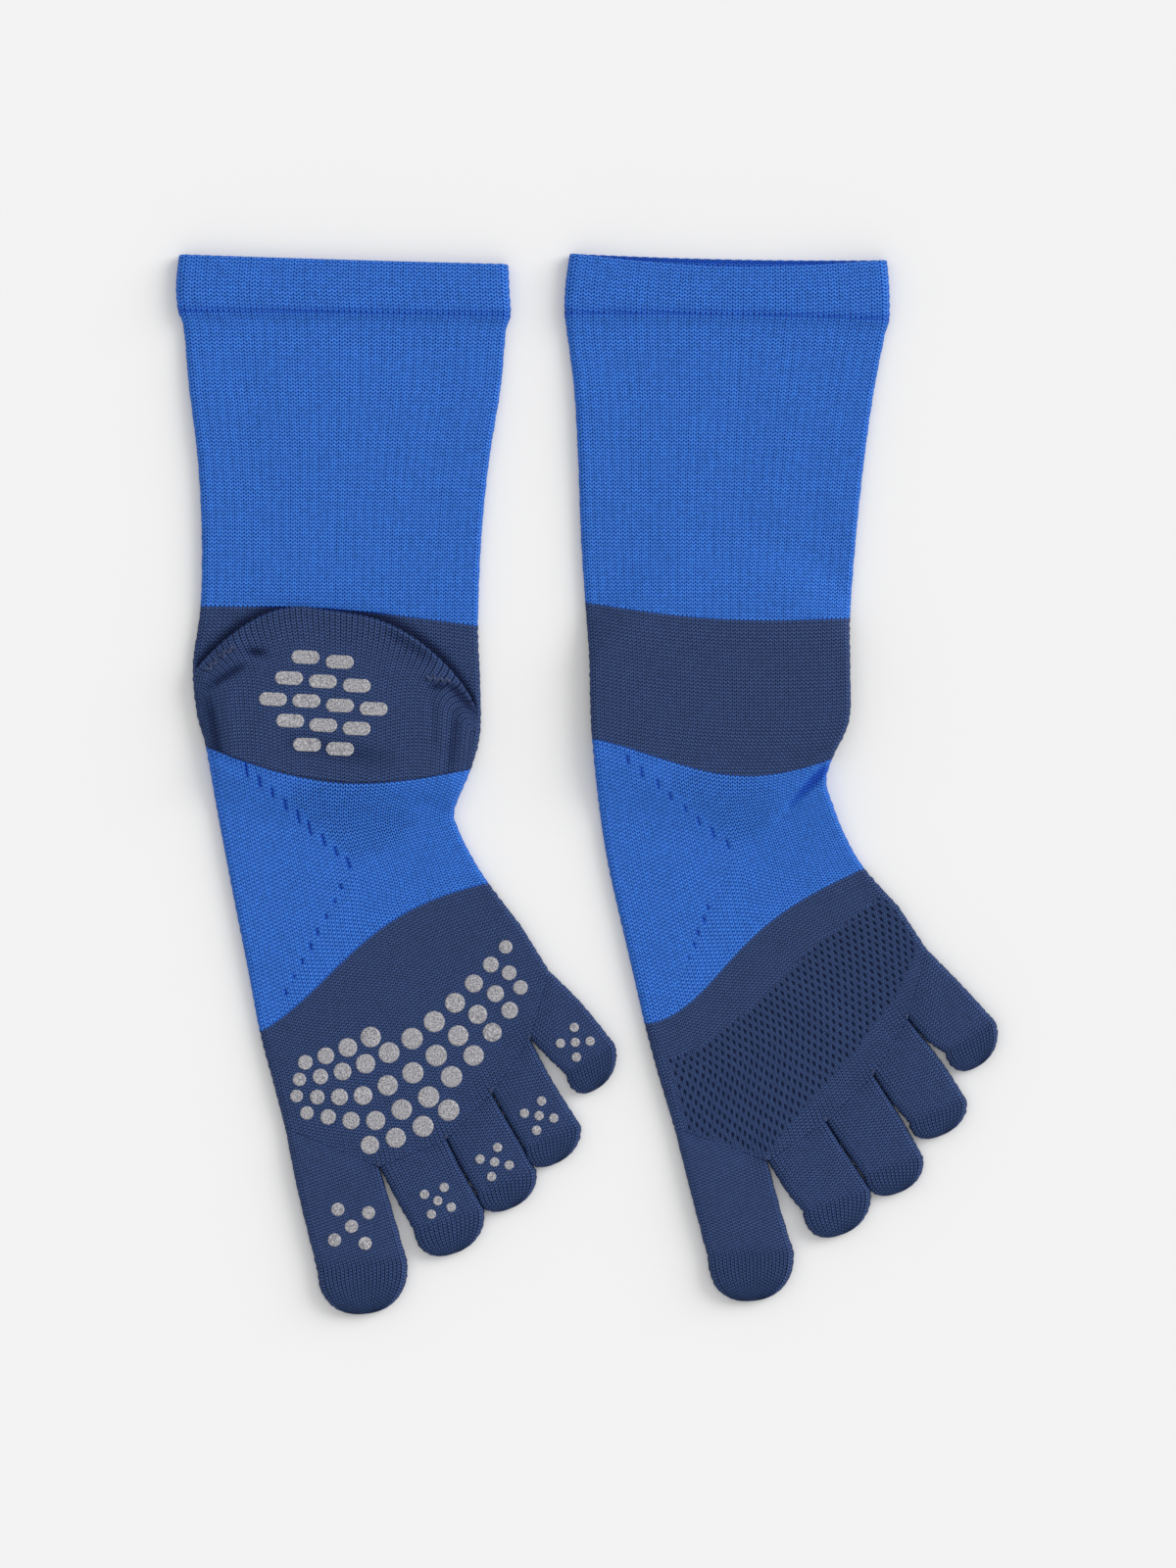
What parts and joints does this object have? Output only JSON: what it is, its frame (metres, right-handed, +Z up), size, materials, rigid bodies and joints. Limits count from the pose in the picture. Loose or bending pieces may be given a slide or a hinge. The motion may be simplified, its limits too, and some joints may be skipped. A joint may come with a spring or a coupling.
{
  "type": "pair of toe socks laid flat",
  "caption": "Pair of knitted ankle-height toe socks lying flat side by side, one sole up with its heel folded over, one instep up.",
  "frame": {"origin": "on the floor under the middle of the pair", "axes": "+Z up from the floor, +Y from the toes to the cuffs, +X from the sole-up sock to the instep-up sock"},
  "size_m": [0.234, 0.3022, 0.0062],
  "materials": {
    "blue_knit": "fine plain knit of bright blue yarn",
    "navy_knit": "fine plain knit of dark navy yarn",
    "grip_print": "matt grey rubber print with a fine sparkle"
  },
  "bodies": {
    "root": {"right_sock_cuff": "blue_knit", "right_sock_leg": "blue_knit", "right_sock_ankle_band": "navy_knit", "right_sock_heel_pocket": "navy_knit", "right_sock_arch": "blue_knit", "right_sock_forefoot": "navy_knit", "right_sock_toe_1": "navy_knit", "right_sock_toe_2": "navy_knit", "right_sock_toe_3": "navy_knit", "right_sock_toe_4": "navy_knit", "right_sock_toe_5": "navy_knit", "left_sock_cuff": "blue_knit", "left_sock_leg": "blue_knit", "left_sock_ankle_band": "navy_knit", "left_sock_heel_pocket": "navy_knit", "left_sock_arch": "blue_knit", "left_sock_forefoot": "navy_knit", "left_sock_toe_1": "navy_knit", "left_sock_toe_2": "navy_knit", "left_sock_toe_3": "navy_knit", "left_sock_toe_4": "navy_knit", "left_sock_toe_5": "navy_knit"}
  },
  "joints": []
}
